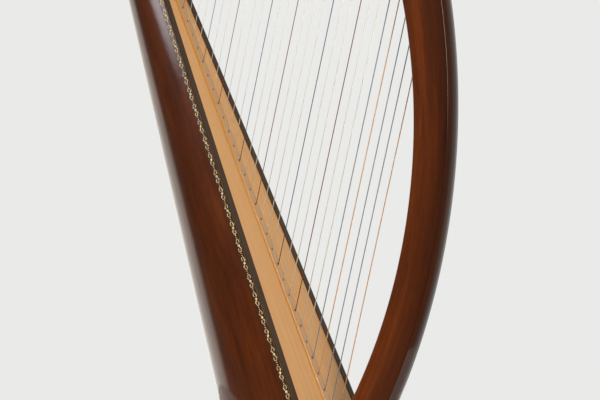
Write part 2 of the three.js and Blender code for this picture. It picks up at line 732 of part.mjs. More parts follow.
// A round pin through the neck, with a squared end on the right for the tuning key.
function makeTuningPin() {
  const round = regular(TUNING_PIN_RADIUS, 8, Math.PI / 8);
  const square = (half) => round.map((p) => {
    const scale = half / Math.max(Math.abs(p.x), Math.abs(p.y));
    return new THREE.Vector2(p.x * scale, p.y * scale);
  });
  const { start, end, halfAtStart, halfAtEnd } = KEY_SQUARE;
  const stations = [
    [round, TUNING_PIN_END],
    [round, NECK_RIGHT - start + 1],
    [square(halfAtStart), NECK_RIGHT - start],
    [square(halfAtEnd), NECK_RIGHT - end],
  ];
  return loft(stations.map(([outline, y]) => ({ outline, place: (p) => new THREE.Vector3(p.x, y, p.y) })));
}

for (const string of strings) {
  const pin = addPiece(harp, `tuning_pin_${noteName(string)}`, makeTuningPin(), steel);
  pin.position.copy(tuningPinAxis(string));
}

// ---------------------------------------------------------------- stand the harp over its origin

const extent = new THREE.Box3().setFromObject(harp, true);
harp.position.x = -(extent.min.x + extent.max.x) / 2;

export default harp;
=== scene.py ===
# A 29-string lever harp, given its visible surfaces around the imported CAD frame.
# Metres, in the frame's own axes: +X from the player to the pillar, +Y to the player's left, +Z up.

import json
import math

import bmesh
import bpy
from mathutils import Matrix, Vector


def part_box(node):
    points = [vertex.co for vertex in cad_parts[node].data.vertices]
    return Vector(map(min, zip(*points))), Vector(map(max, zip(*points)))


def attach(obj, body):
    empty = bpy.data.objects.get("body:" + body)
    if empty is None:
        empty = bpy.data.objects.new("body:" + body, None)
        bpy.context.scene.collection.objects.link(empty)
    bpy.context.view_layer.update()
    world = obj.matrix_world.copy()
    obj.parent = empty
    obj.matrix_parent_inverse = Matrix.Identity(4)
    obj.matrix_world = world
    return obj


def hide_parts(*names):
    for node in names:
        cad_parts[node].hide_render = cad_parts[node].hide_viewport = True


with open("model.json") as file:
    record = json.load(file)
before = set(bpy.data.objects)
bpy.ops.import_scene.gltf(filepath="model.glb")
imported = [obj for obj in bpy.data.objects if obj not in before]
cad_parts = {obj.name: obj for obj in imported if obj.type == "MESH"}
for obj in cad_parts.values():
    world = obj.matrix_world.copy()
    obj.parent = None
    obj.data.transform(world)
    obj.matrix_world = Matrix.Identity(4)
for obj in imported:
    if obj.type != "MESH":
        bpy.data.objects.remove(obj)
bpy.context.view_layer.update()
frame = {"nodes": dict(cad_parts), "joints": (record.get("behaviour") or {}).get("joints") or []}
FRAME_BODY = "harp_frame"

# -------- driving dimensions, as in the CAD

GAP = 0.0003  # left between pieces that touch
STRING_COUNT = 29
NYLON_COUNT = 24
NOTES = "cbagfed"  # going down from string 1
SHORTEST_STRING = 0.125
OCTAVE_GROWTH = 0.985  # octaves that a string gains in length for each octave down, at the treble end
OCTAVE_FALL = 0.0735  # and how that falls off towards the bass
STRING_SPACING = 0.0269  # up the board, at the bass end
SPACING_FALL = 0.0000375
THINNEST_STRING = 0.00035  # radius of string 1
THICKEST_STRING = 0.00085

BASE_BOTTOM = 0.022
BASE_TOP = 0.064
BOARD_LEAN = math.radians(21.8)
STRING_LEAN = math.radians(12.5)
LAST_STRING_Z = 0.124

BOX_LOW = -0.060  # soundbox ends, measured up the board from string 29
BOX_HIGH = 0.790
HALF_WIDTH_LOW = 0.139
HALF_WIDTH_HIGH = 0.054
HALF_WIDTH_BULGE = 0.004
DEPTH_LOW = 0.172
DEPTH_HIGH = 0.073
BACK_SQUARENESS = 2.3  # 2 is an ellipse, more is squarer
SHELL_THICKNESS = 0.005
BOARD_THICKNESS = 0.004
STRIP_WIDTH = 0.020
STRIP_THICKNESS = 0.0015
RIB_HALF_WIDTH = 0.013
RIB_THICKNESS = 0.003
RIB_BELOW = 0.011
STRING_RISE = 0.0011
ANCHOR_HALF_WIDTH = 0.009
ANCHOR_THICKNESS = 0.004
ANCHOR_SPARE = 0.011  # past the outermost strings
SOUND_HOLES = [(0.110, 0.036), (0.285, 0.032), (0.440, 0.027), (0.580, 0.022)]  # place, half width
SOUND_HOLE_STRETCH = 1.25
SHOULDER_LENGTH = 0.045

PILLAR_RADIUS = 1.0575
PILLAR_CENTRE = (-0.892, 0.481)
PILLAR_THICKNESS = 0.044
PILLAR_MIDDLE_HALF_DEPTH = 0.031
PILLAR_DEPTH_LEAN = 0.000218
PILLAR_DEPTH_FLARE = 0.0000095
PILLAR_FRONT_DEPTH = 0.013
PILLAR_FRONT_WIDTH = 0.017
PILLAR_BACK_EASE = 0.004
PILLAR_FOOT_Y = -0.018
PILLAR_TOP_Y = -0.033
PILLAR_FOOT = -32.0  # degrees round the bow, from its level middle
PILLAR_TOP = 12.0

NECK_LEFT = -0.011
NECK_RIGHT = -0.055
NECK_EDGE = 0.004
NECK_SEAT = 0.066  # how far back the neck reaches on the shoulder block
HUMP_ROUND = 0.014
SEMITONE = 0.056
BELOW_LEVER = 0.015
ABOVE_BRIDGE_PIN = 0.055
HEAD_TIP = (0.238, 0.846)
HEAD_TOP = (0.208, 0.893)

BRIDGE_PIN_RADIUS = 0.0022
BRIDGE_PIN_END = 0.0035
TUNING_PIN_RADIUS = 0.0025
TUNING_PIN_END = 0.006
LEVER_ASIDE = 0.007
LEVER_HUB_RADIUS = 0.0034
LEVER_SHORTEST = 0.015  # handle
LEVER_GROWTH = 0.009
LEVER_HALF_WIDTH = 0.0034
LEVER_REST = math.radians(135)
LEVER_THROW = math.radians(90)

BASE_BACK = -0.174
BASE_FRONT = 0.092
BASE_WAIST = 0.016
BASE_HALF_WIDTH = 0.147
BOLT_X = 0.033

# -------- fine detail, only in this model

SHARP_ANGLE = math.radians(35)  # edges that turn more than this stay crisp
SOFT_ANGLE = math.radians(60)  # the same for small round pieces with few sides
HOLE_RING_WIDTH = 0.0045  # of the dark ring round each sound hole
HOLE_RING_PROUD = 0.0008
BOARD_INSET = 0.0008  # the gilt band covers the soundboard's edge
RIB_CHAMFER_FALL = 0.0016
RIB_CHAMFER_WIDTH = 0.0008
BAND_WIDTH = 0.0082
BAND_GROUND_LIFT = 0.0004
BAND_LOW = -0.030
BAND_PERIOD = 0.028  # from one boss to the next
BAND_COUNT = 29
FRONT_SET_IN = 0.0012  # the pillar's round front starts inside its flat sides
FRONT_END = math.radians(60)  # where the round front meets the bead, round its ellipse
BEAD_RADIUS = 0.0016
GROOVE_DEPTH = 0.0007
GRIP_PROUD = 0.0005  # of the lever's handle
PLATE_HALF_WIDTH = 0.0052
PLATE_HALF_HEIGHT = 0.0130
FLOOR_RADIUS = 0.62

# -------- places

bolt_low, bolt_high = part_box("pillar_bolt")
LAST_STRING_X = (bolt_low.x + bolt_high.x) / 2 - BOLT_X
BOARD = Matrix.Translation((LAST_STRING_X, 0, LAST_STRING_Z)) @ Matrix.Rotation(-BOARD_LEAN, 4, "Y")
RIM = -BOARD_THICKNESS - GAP  # the shell's front edge, under the soundboard
STRING_WAY = Vector((math.sin(STRING_LEAN), 0, math.cos(STRING_LEAN)))
BASS_WAY = Vector((math.cos(STRING_LEAN), 0, -math.sin(STRING_LEAN)))
STRINGS = range(1, STRING_COUNT + 1)
SIDES = (("left", 1), ("right", -1))
joint_place = {j["child"]: Vector((j["pos_m"][0], 0, j["pos_m"][2])) for j in frame["joints"]}


def in_board(x, y, place):
    """A point x out of the soundboard, y to the left, and place up it from string 29."""
    return BOARD @ Vector((x, y, place))


def steps(low, high, count):
    return [low + (high - low) * k / count for k in range(count + 1)]


def circle(count, shift=0.0):
    """The cosine and sine of evenly spaced turns, all the way round."""
    turns = [2 * math.pi * (k + shift) / count for k in range(count)]
    return [(math.cos(turn), math.sin(turn)) for turn in turns]


def note_name(string):
    return NOTES[(string - 1) % 7] + str(6 - (string + 5) // 7)


def place_on_board(string):
    n = STRING_COUNT - string
    return STRING_SPACING * n - SPACING_FALL * n * n


def string_length(string):
    octaves = (string - 1) / 7
    return SHORTEST_STRING * 2 ** (OCTAVE_GROWTH * octaves - OCTAVE_FALL * octaves * octaves)


def string_radius(string):
    if string > NYLON_COUNT:
        return THICKEST_STRING
    growth = THICKEST_STRING - THINNEST_STRING
    return THINNEST_STRING + growth * (string - 1) / (STRING_COUNT - 1)


def string_foot(string):
    return in_board(GAP + RIB_THICKNESS + STRING_RISE, 0, place_on_board(string))


def along_string(string, length, to_bass=0.0, y=0.0):
    point = string_foot(string) + STRING_WAY * length + BASS_WAY * to_bass
    return Vector((point.x, y, point.z))


def bridge_pin_axis(string):
    return along_string(string, string_length(string), BRIDGE_PIN_RADIUS + string_radius(string) + GAP)


def box_share(place):
    return (place - BOX_LOW) / (BOX_HIGH - BOX_LOW)


def half_width(place):
    share = box_share(place)
    bulge = HALF_WIDTH_BULGE * math.sin(math.pi * min(max(share, 0), 1))
    return HALF_WIDTH_LOW + (HALF_WIDTH_HIGH - HALF_WIDTH_LOW) * share + bulge


def box_depth(place):
    return DEPTH_LOW + (DEPTH_HIGH - DEPTH_LOW) * box_share(place)


def rounded_back(turn, half, depth, squareness=BACK_SQUARENESS):
    """How far back a rounded outline is, and its y: turn runs from its left edge to its right, 0 to pi."""
    across = math.cos(turn)
    power = 2 / squareness
    return depth * abs(math.sin(turn)) ** power, half * math.copysign(abs(across) ** power, across)


# -------- meshes


def add_object(name, data):
    made = bpy.data.objects.new(name, data)
    bpy.context.scene.collection.objects.link(made)
    return made


def mesh_object(name, points, faces, sharp=SHARP_ANGLE):
    """A smooth-shaded mesh whose edges stay crisp where it turns more than sharp."""
    mesh = bpy.data.meshes.new(name)
    mesh.from_pydata([tuple(p) for p in points], [], faces)
    shape = bmesh.new()
    shape.from_mesh(mesh)
    bmesh.ops.recalc_face_normals(shape, faces=shape.faces)
    shape.to_mesh(mesh)
    shape.free()
    mesh.shade_smooth()
    mesh.set_sharp_from_angle(angle=sharp)
    return add_object(name, mesh)


def loft_faces(ring_count, count, first=0):
    """Faces of a closed skin through rings of count points each, with flat ends."""
    faces = []
    for ring in range(ring_count - 1):
        for k in range(count):
            a = first + ring * count + k
            b = first + ring * count + (k + 1) % count
            faces.append((a, b, b + count, a + count))
    faces.append(tuple(range(first, first + count)))
    last = first + (ring_count - 1) * count
    faces.append(tuple(range(last, last + count)))
    return faces


def join_lofts(name, lofts, sharp=SHARP_ANGLE):
    """One mesh of several closed skins."""
    points = []
    faces = []
    for rings in lofts:
        faces += loft_faces(len(rings), len(rings[0]), len(points))
        points += [p for ring in rings for p in ring]
    return mesh_object(name, points, faces, sharp)


def loft(name, rings, sharp=SHARP_ANGLE):
    return join_lofts(name, [rings], sharp)


def tube_rings(path, radii, sides):
    """Rings round a path, turned as little as possible from one to the next."""
    ways = [(b - a).normalized() for a, b in zip(path, path[1:])]
    side = ways[0].orthogonal().normalized()
    rings = []
    for k, point in enumerate(path):
        before = ways[max(k - 1, 0)]
        after = ways[min(k, len(ways) - 1)]
        way = (before + after).normalized()
        side = (side - way * side.dot(way)).normalized()
        up = way.cross(side)
        rings.append([point + (side * c + up * s) * radii[k] for c, s in circle(sides)])
    return rings


def turned_rings(profile, sides, place):
    """Rings of a turned piece, from (radius, distance along the axis): place(a, b, along) is a point."""
    return [[place(r * c, r * s, along) for c, s in circle(sides)] for r, along in profile]


def turned_along_y(profile, sides, centre):
    return turned_rings(profile, sides, lambda a, b, along: centre + Vector((a, along, b)))


def turned_along_z(profile, sides, centre):
    return turned_rings(profile, sides, lambda a, b, along: centre + Vector((a, b, along)))


def catmull_rom(points, count):
    """A smooth line through the points, count steps to each, without the first point."""
    padded = [points[0]] + list(points) + [points[-1]]
    line = []
    for a, b, c, d in zip(padded, padded[1:], padded[2:], padded[3:]):
        for k in range(1, count + 1):
            t = k / count
            bend = (2 * a - 5 * b + 4 * c - d) * t**2
            twist = (3 * b - a - 3 * c + d) * t**3
            line.append(b + 0.5 * ((c - a) * t + bend + twist))
    return line


def bezier(a, b, c, d, count):
    """A cubic Bezier curve from a to d, without the point a."""
    line = []
    for k in range(1, count + 1):
        t = k / count
        s = 1 - t
        line.append(a * s**3 + b * (3 * s * s * t) + c * (3 * s * t * t) + d * t**3)
    return line


def bevel(piece, width, segments=3, degrees=40):
    modifier = piece.modifiers.new("edges", "BEVEL")
    modifier.width = width
    modifier.segments = segments
    modifier.limit_method = "ANGLE"
    modifier.angle_limit = math.radians(degrees)
    modifier.harden_normals = True


def trim(piece, point, outward):
    """Cuts off what lies on the outward side of a plane, and closes the cut."""
    shape = bmesh.new()
    shape.from_mesh(piece.data)
    geometry = shape.verts[:] + shape.edges[:] + shape.faces[:]
    cut = bmesh.ops.bisect_plane(
        shape, geom=geometry, plane_co=point, plane_no=outward, clear_outer=True, dist=1e-6
    )
    rim = [e for e in cut["geom_cut"] if isinstance(e, bmesh.types.BMEdge)]
    bmesh.ops.edgeloop_fill(shape, edges=rim)
    bmesh.ops.recalc_face_normals(shape, faces=shape.faces)
    shape.to_mesh(piece.data)
    shape.free()
    piece.data.set_sharp_from_angle(angle=SHARP_ANGLE)


def dress(piece, look, slot, body=FRAME_BODY, replaced=()):
    """Gives a piece its material and the body it moves with; slot is not used."""
    piece.data.materials.append(look)
    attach(piece, body)
    if replaced:
        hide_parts(*replaced)
    return piece


# -------- materials


def srgb(red, green, blue, gain=1.0):
    """A colour as it is seen, 0 to 255, as the shader needs it, and gain times as bright."""
    parts = [c / 255 for c in (red, green, blue)]
    linear = [c / 12.92 if c <= 0.04045 else ((c + 0.055) / 1.055) ** 2.4 for c in parts]
    return tuple(c * gain for c in linear) + (1.0,)


class NodeTree:
    """A node tree under construction, with short names for what it holds."""

    def feed(self, socket, value):
        if isinstance(value, bpy.types.NodeSocket):
            self.tree.links.new(value, socket)
        else:
            socket.default_value = value

    def node(self, kind, inputs, **settings):
        made = self.tree.nodes.new(kind)
        for key, value in settings.items():
            setattr(made, key, value)
        for key, value in inputs.items():
            self.feed(made.inputs[key], value)
        return made

    def mix(self, share, a, b):
        return self.node("ShaderNodeMix", {0: share, 6: a, 7: b}, data_type="RGBA").outputs[2]


class Look(NodeTree):
    """A material under construction."""

    def __init__(self, name):
        self.material = bpy.data.materials.new(name)
        self.material.use_nodes = True
        self.tree = self.material.node_tree
        self.shader = self.tree.nodes["Principled BSDF"]

    def place(self, turn_y=0.0):
        """The piece's own coordinates, turned about Y so that z runs along the grain."""
        coordinates = self.tree.nodes.new("ShaderNodeTexCoord").outputs["Object"]
        turned = self.node("ShaderNodeMapping", {"Vector": coordinates, "Rotation": (0, turn_y, 0)})
        return turned.outputs["Vector"]

    def grain(self):
        """Coordinates that follow a bent piece: z runs along it."""
        return self.node("ShaderNodeAttribute", {}, attribute_name="grain").outputs["Vector"]

    def noise(self, place, scale, detail=3.0, roughness=0.5, stretch=(1, 1, 1)):
        if stretch != (1, 1, 1):
            stretched = self.node("ShaderNodeVectorMath", {0: place, 1: stretch}, operation="MULTIPLY")
            place = stretched.outputs[0]
        inputs = {"Vector": place, "Scale": scale, "Detail": detail, "Roughness": roughness}
        return self.node("ShaderNodeTexNoise", inputs).outputs["Fac"]

    def ramp(self, value, stops):
        made = self.node("ShaderNodeValToRGB", {"Fac": value})
        while len(made.color_ramp.elements) < len(stops):
            made.color_ramp.elements.new(1.0)
        for element, (position, color) in zip(made.color_ramp.elements, stops):
            element.position = position
            element.color = color
        return made.outputs["Color"]

    def grey(self, value, low, high, start=0.3, end=0.7):
        """The value between start and end, spread over low to high."""
        made = self.node(
            "ShaderNodeMapRange",
            {"Value": value, "From Min": start, "From Max": end, "To Min": low, "To Max": high},
        )
        return made.outputs["Result"]

    def math(self, operation, a, b=0.0):
        return self.node("ShaderNodeMath", {0: a, 1: b}, operation=operation).outputs[0]

    def bump(self, height, distance, strength=1.0):
        inputs = {"Height": height, "Distance": distance, "Strength": strength}
        return self.node("ShaderNodeBump", inputs).outputs["Normal"]

    def finish(self, **sockets):
        for name, value in sockets.items():
            self.feed(self.shader.inputs[name.replace("_", " ")], value)
        return self.material


def mahogany(name, turn_y=None, painted_shade=False, gain=1.0):
    """Lacquered red-brown wood: dark streaks, ribbon figure and short open pores under a gloss, with
    painted shade where asked.
    """
    look = Look(name)
    place = look.grain() if turn_y is None else look.place(turn_y)
    streaks = look.noise(place, 70, 5, 0.6, stretch=(1, 1, 0.05))
    ribbon = look.noise(place, 190, 3, 0.55, stretch=(1, 1, 0.02))
    fibres = look.noise(place, 900, 2, 0.6, stretch=(1, 1, 0.03))
    pores = look.noise(place, 3200, 1, 0.5, stretch=(1, 1, 0.07))
    color = look.ramp(streaks, [
        (0.28, srgb(50, 20, 6, gain)),
        (0.45, srgb(74, 32, 8, gain)),
        (0.58, srgb(90, 40, 9, gain)),
        (0.75, srgb(112, 54, 14, gain)),
    ])
    color = look.mix(look.grey(ribbon, 0.0, 0.45), color, srgb(58, 22, 5, gain))
    color = look.mix(look.grey(fibres, 0.0, 0.35), color, srgb(106, 48, 12, gain))
    pore_mask = look.grey(pores, 0.0, 0.75, 0.62, 0.72)
    color = look.mix(pore_mask, color, srgb(34, 14, 5))
    # Painted shade: the wood darkens toward the pillar's round front by its stored shade share, down to
    # the dark brown srgb(24, 11, 6), standing in for the shade that falls there.
    if painted_shade:
        shade = look.node("ShaderNodeAttribute", {}, attribute_name="shade").outputs["Fac"]
        color = look.mix(look.math("MULTIPLY", shade, 0.86), color, srgb(24, 11, 6))
    relief = look.math("SUBTRACT", look.math("MULTIPLY", fibres, 0.4), pore_mask)
    ripple = look.noise(place, 60, 2)
    return look.finish(
        Base_Color=color,
        Roughness=look.grey(ribbon, 0.32, 0.46),
        Specular_IOR_Level=0.2,
        Normal=look.bump(relief, 0.00003, 0.6),
        Coat_Weight=1.0,
        Coat_Roughness=0.06,
        Coat_IOR=1.5,
        Coat_Normal=look.bump(ripple, 0.0003, 0.25),
    )


def straight_wood(name, turn_y, light, middle, dark, coat, line_scale=420, coat_roughness=0.22):
    """Even straight-grained wood, such as spruce: fine darker lines and a faint silk across."""
    look = Look(name)
    place = look.place(turn_y)
    lines = look.noise(place, line_scale, 3, 0.65, stretch=(0.3, 1, 0.006))
    cloud = look.noise(place, 28, 3, 0.5, stretch=(1, 1, 0.2))
    silk = look.noise(place, 500, 2, 0.5, stretch=(1, 0.25, 1))
    color = look.ramp(lines, [(0.3, light), (0.55, middle), (0.75, dark)])
    color = look.mix(look.grey(cloud, 0.0, 0.35), color, middle)
    color = look.mix(look.grey(silk, 0.0, 0.12), color, light)
    return look.finish(
        Base_Color=color,
        Roughness=look.grey(lines, 0.42, 0.56),
        Specular_IOR_Level=0.25,
        Normal=look.bump(lines, 0.00003, 0.5),
        Coat_Weight=coat,
        Coat_Roughness=coat_roughness,
    )


def marked_look(name, turn_y, marks, color, roughness, bump, **sockets):
    """A surface whose colour, polish and relief all follow the same marks."""
    look = Look(name)
    value = look.noise(look.place(turn_y), **marks)
    return look.finish(
        Base_Color=look.ramp(value, color),
        Roughness=look.grey(value, *roughness),
        Normal=look.bump(value, *bump),
        **sockets,
    )


def metal_look(name, light, dark, rough_low, rough_high, scale=900):
    """Plated or polished metal with small differences in polish and a little tarnish."""
    look = Look(name)
    place = look.place()
    tarnish = look.noise(place, scale * 0.2, 4, 0.6)
    polish = look.noise(place, scale, 2)
    return look.finish(
        Base_Color=look.mix(look.grey(tarnish, 0.0, 0.8), light, dark),
        Roughness=look.grey(polish, rough_low, rough_high),
        Normal=look.bump(polish, 0.00001, 0.4),
        Metallic=1.0,
    )


def gilt_look():
    """Gold leaf over a dark ground, rubbed thin in places."""
    look = Look("gilt_leaf")
    place = look.place()
    rubbed = look.noise(place, 260, 4, 0.65)
    crumple = look.noise(place, 1500, 3)
    color = look.ramp(rubbed, [
        (0.4, srgb(252, 236, 196)),
        (0.62, srgb(232, 200, 140)),
        (0.75, srgb(150, 108, 56)),
    ])
    return look.finish(
        Base_Color=color,
        Roughness=look.grey(crumple, 0.25, 0.5),
        Normal=look.bump(crumple, 0.00005, 0.6),
        Metallic=0.4,
    )


def nylon_look(name, color, shade, clear=0.0):
    """Monofilament: faint drawing marks along it and a soft shine."""
    look = Look(name)
    place = look.place(STRING_LEAN)
    marks = look.noise(place, 2600, 2, stretch=(1, 1, 0.02))
    return look.finish(
        Base_Color=look.mix(look.grey(marks, 0.0, 0.6), color, shade),
        Roughness=look.grey(marks, 0.34, 0.42),
        Normal=look.bump(marks, 0.000002, 0.1),
        Transmission_Weight=clear,
    )


def wound_look(name, light, dark):
    """A close winding of fine wire round the string, its colour painted darker between the turns as shade.
    """
    look = Look(name)
    place = look.place(-STRING_LEAN)
    coils = look.node(
        "ShaderNodeTexWave",
        {"Vector": place, "Scale": 800.0, "Distortion": 0.3, "Detail": 1.0, "Detail Scale": 0.5},
        bands_direction="Z",
    ).outputs["Fac"]
    dull = look.noise(place, 300, 3)
    # Painted shade: the colour runs from light on each turn to dark between turns, where the grooves lie.
    # The same coils also give the relief.
    color = look.mix(look.grey(coils, 0.0, 1.0, 0.0, 0.8), dark, light)
    return look.finish(
        Base_Color=look.mix(look.grey(dull, 0.0, 0.4), color, dark),
        Roughness=look.grey(dull, 0.3, 0.45),
        Normal=look.bump(coils, 0.00006, 0.8),
        Metallic=0.5,
    )


def plastic_look(name, color, shade):
    look = Look(name)
    place = look.place()
    mottle = look.noise(place, 700, 3)
    return look.finish(
        Base_Color=look.mix(look.grey(mottle, 0.0, 0.6), color, shade),
        Roughness=look.grey(mottle, 0.28, 0.42),
        Normal=look.bump(mottle, 0.00001, 0.4),
    )


BOX_WOOD = mahogany("mahogany_box", BOARD_LEAN)
# The pillar's mahogany is 1.55 times brighter and darkens to painted shade toward its round front, so its
# back stays light and its front looks shaded.
PILLAR_WOOD = mahogany("mahogany_pillar", painted_shade=True, gain=1.55)
NECK_WOOD = mahogany("mahogany_neck", -math.radians(70))
BASE_WOOD = mahogany("mahogany_base", math.radians(90))
SPRUCE = straight_wood(
    "spruce_board", BOARD_LEAN, srgb(228, 176, 116), srgb(216, 160, 100), srgb(194, 135, 77), 0.15
)
RIB_WOOD = straight_wood(
    "rib_wood", BOARD_LEAN, srgb(208, 156, 88), srgb(194, 139, 73), srgb(172, 114, 53), 1.0, 300, 0.12
)
BARE_WOOD = straight_wood(
    "bare_maple", BOARD_LEAN, srgb(214, 178, 132), srgb(198, 160, 114), srgb(172, 130, 86), 0.0, 260
)
EBONY = marked_look(
    "ebony_satin",
    BOARD_LEAN,
    {"scale": 500, "stretch": (1, 1, 0.02)},
    [(0.3, srgb(48, 33, 21)), (0.55, srgb(68, 48, 32)), (0.75, srgb(92, 67, 46))],
    roughness=(0.5, 0.65),
    bump=(0.00002, 0.5),
    Specular_IOR_Level=0.3,
)
GILT = gilt_look()
BAND_GROUND = marked_look(
    "band_ground",
    BOARD_LEAN,
    {"scale": 900, "roughness": 0.6},
    [(0.45, srgb(48, 22, 7)), (0.6, srgb(72, 40, 14)), (0.75, srgb(136, 96, 44))],
    roughness=(0.3, 0.5),
    bump=(0.00005, 0.5),
    Coat_Weight=0.5,
    Coat_Roughness=0.1,
)
NICKEL = metal_look("nickel_plate", srgb(206, 204, 200), srgb(160, 156, 150), 0.16, 0.3)
BRASS = metal_look("polished_brass", srgb(214, 172, 92), srgb(160, 118, 56), 0.16, 0.32)
NYLON_CLEAR = nylon_look("nylon_clear", srgb(232, 228, 214), srgb(216, 211, 196), 0.7)
NYLON_RED = nylon_look("nylon_red", srgb(120, 26, 22), srgb(88, 18, 16))
NYLON_BLACK = nylon_look("nylon_black", srgb(58, 64, 78), srgb(40, 44, 54))
WOUND_COPPER = wound_look("wound_copper", srgb(252, 206, 146), srgb(206, 146, 88))
WOUND_SILVER = wound_look("wound_silver", srgb(180, 186, 194), srgb(110, 116, 126))
RED_CAP = plastic_look("lever_red", srgb(150, 24, 22), srgb(118, 16, 16))
BLUE_CAP = plastic_look("lever_blue", srgb(30, 52, 110), srgb(20, 36, 84))
RUBBER = marked_look(
    "foot_rubber",
    0.0,
    {"scale": 900, "detail": 4, "roughness": 0.7},
    [(0.3, srgb(22, 22, 22)), (0.7, srgb(46, 45, 44))],
    roughness=(0.7, 0.9),
    bump=(0.0001, 0.6),
)


def redress(node, look):
    """A CAD node keeps its shape and gets a finished material."""
    for slot in frame["nodes"][node].material_slots:
        slot.material = look


for node in ("liner_left", "liner_right", "brace_lower", "brace_upper", "bottom_block", "neck_dowel"):
    redress(node, BARE_WOOD)
redress("pillar_bolt", NICKEL)

# -------- soundbox


def level_start(x):
    """How far up the board a line starts, x(place) out of it, to begin level with the base."""
    place = BOX_LOW
    for _ in range(8):
        point = in_board(x(place), 0, place)
        place += (BASE_TOP + GAP - point.z) / math.cos(BOARD_LEAN)
    return place


def back_point(turn, place, inset):
    """A point on the round back, in the soundboard's frame."""
    behind, y = rounded_back(turn, half_width(place) - inset, box_depth(place) - inset)
    return Vector((RIM - behind, y, place))


def even_turns(count):
    """Turns from 0 to pi, closer together near both ends, where the back turns into its sides."""
    return [math.pi * (0.5 * t + 0.25 * (1 - math.cos(math.pi * t))) for t in steps(0, 1, count)]


def make_soundbox_back():
    """The bent shell, open in front, cut level at the base, with four oval sound holes."""
    lines = [(turn, 0.0) for turn in even_turns(72)]
    lines += [(turn, SHELL_THICKNESS) for turn in reversed(even_turns(72))]
    starts = [level_start(lambda p, t=turn, i=inset: back_point(t, p, i).x) for turn, inset in lines]
    rings = []
    for share in steps(0, 1, 44):
        places = [start + (BOX_HIGH - start) * share for start in starts]
        rings.append([BOARD @ back_point(turn, p, inset) for (turn, inset), p in zip(lines, places)])
    shell = loft("soundbox_back", rings)
    for place, half in SOUND_HOLES:
        cut_oval(shell, place, half)
    return shell


def cut_oval(shell, place, half):
    """Cuts an upright oval through the back only."""
    oval = [(half * c, place + half * SOUND_HOLE_STRETCH * s) for c, s in circle(64)]
    ends = (-box_depth(place) / 2, -2 * box_depth(place))
    cutter = loft("cutter", [[in_board(x, y, up) for y, up in oval] for x in ends])
    modifier = shell.modifiers.new("hole", "BOOLEAN")
    modifier.operation = "DIFFERENCE"
    modifier.solver = "EXACT"
    modifier.object = cutter
    graph = bpy.context.evaluated_depsgraph_get()
    uncut = shell.data
    shell.data = bpy.data.meshes.new_from_object(shell.evaluated_get(graph))
    shell.modifiers.clear()
    bpy.data.meshes.remove(uncut)
    shell.data.name = shell.name
    shell.data.set_sharp_from_angle(angle=SHARP_ANGLE)
    bpy.data.objects.remove(cutter)


def other_share(share):
    """On the back's outline, the share of the depth at a share of the half width, or the reverse."""
    return (1 - share**BACK_SQUARENESS) ** (1 / BACK_SQUARENESS)


def back_surface_x(y, place, lift=0.0):
    """How far out of the board the round back lies at this y, lifted off the wood."""
    share = min(abs(y) / (half_width(place) + lift), 1)
    return RIM - (box_depth(place) + lift) * other_share(share)


def make_hole_ring(number, place, half):
    """A flat ring of dark wood let in round a sound hole, standing a little proud."""
    overhang = 0.0004  # over the hole's edge
    sunk = -0.001
    profile = [
        (-overhang, sunk),
        (-overhang, HOLE_RING_PROUD),
        (HOLE_RING_WIDTH * 0.5, HOLE_RING_PROUD * 1.4),
        (HOLE_RING_WIDTH, HOLE_RING_PROUD),
        (HOLE_RING_WIDTH, sunk),
    ]
    sides = 72
    points = []
    for c, s in circle(sides):
        for grow, lift in profile:
            y = (half + grow) * c
            up = place + (half * SOUND_HOLE_STRETCH + grow) * s
            points.append(in_board(back_surface_x(y, up, lift), y, up))
    count = len(profile)
    faces = []
    for k in range(sides):
        here = k * count
        there = (k + 1) % sides * count
        for n in range(count):
            after = (n + 1) % count
            faces.append((here + n, here + after, there + after, there + n))
    ring = mesh_object(f"sound_hole_ring_{number}", points, faces)
    return dress(ring, EBONY, "ebony")


dress(make_soundbox_back(), BOX_WOOD, "mahogany", replaced=["soundbox_shell"])
for number, (place, half) in enumerate(SOUND_HOLES, 1):
    make_hole_ring(number, place, half)

# -------- soundboard and what lies on it


def strip_on_board(name, x_low, x_high, edges, low=None, high=BOX_HIGH, count=40):
    """A flat strip between two edges y = edges(place); with no low it starts level with the base."""
    corners = [(x_low, 0), (x_high, 0), (x_high, 1), (x_low, 1)]
    rings = []
    for share in steps(0, 1, count):
        ring = []
        for x, side in corners:
            start = level_start(lambda p, x=x: x) if low is None else low
            place = start + (high - start) * share
            ring.append(in_board(x, edges(place)[side], place))
        rings.append(ring)
    return loft(name, rings)


soundboard = strip_on_board(
    "soundboard_plate",
    -BOARD_THICKNESS,
    0,
    lambda p: (BOARD_INSET - half_width(p), half_width(p) - BOARD_INSET),
)
dress(soundboard, SPRUCE, "spruce", replaced=["soundboard"])


def make_rib():
    """The straight rib that the strings rise through, with a planed chamfer along both edges."""
    top = GAP + RIB_THICKNESS
    half = RIB_HALF_WIDTH
    right = [(GAP, -half), (top - RIB_CHAMFER_FALL, -half), (top, RIB_CHAMFER_WIDTH - half)]
    outline = right + [(x, -y) for x, y in reversed(right)]
    rings = [[in_board(x, y, p) for x, y in outline] for p in steps(-RIB_BELOW, BOX_HIGH, 40)]
    dress(loft("string_rib_cap", rings), RIB_WOOD, "pale_wood", replaced=["string_rib"])


make_rib()

for side_name, side in SIDES:
    strip = strip_on_board(
        f"edge_strip_{side_name}_cap",
        GAP,
        GAP + STRIP_THICKNESS,
        lambda p, s=side: (s * half_width(p), s * (half_width(p) - STRIP_WIDTH)),
    )
    bevel(strip, 0.0006)
    dress(strip, EBONY, "ebony", replaced=[f"edge_strip_{side_name}"])


def turned_on_board(profile, sides, x, place):
    """A turned piece that stands square on the board, x out of it."""
    return turned_rings(profile, sides, lambda a, b, out: in_board(x + out, a, place + b))


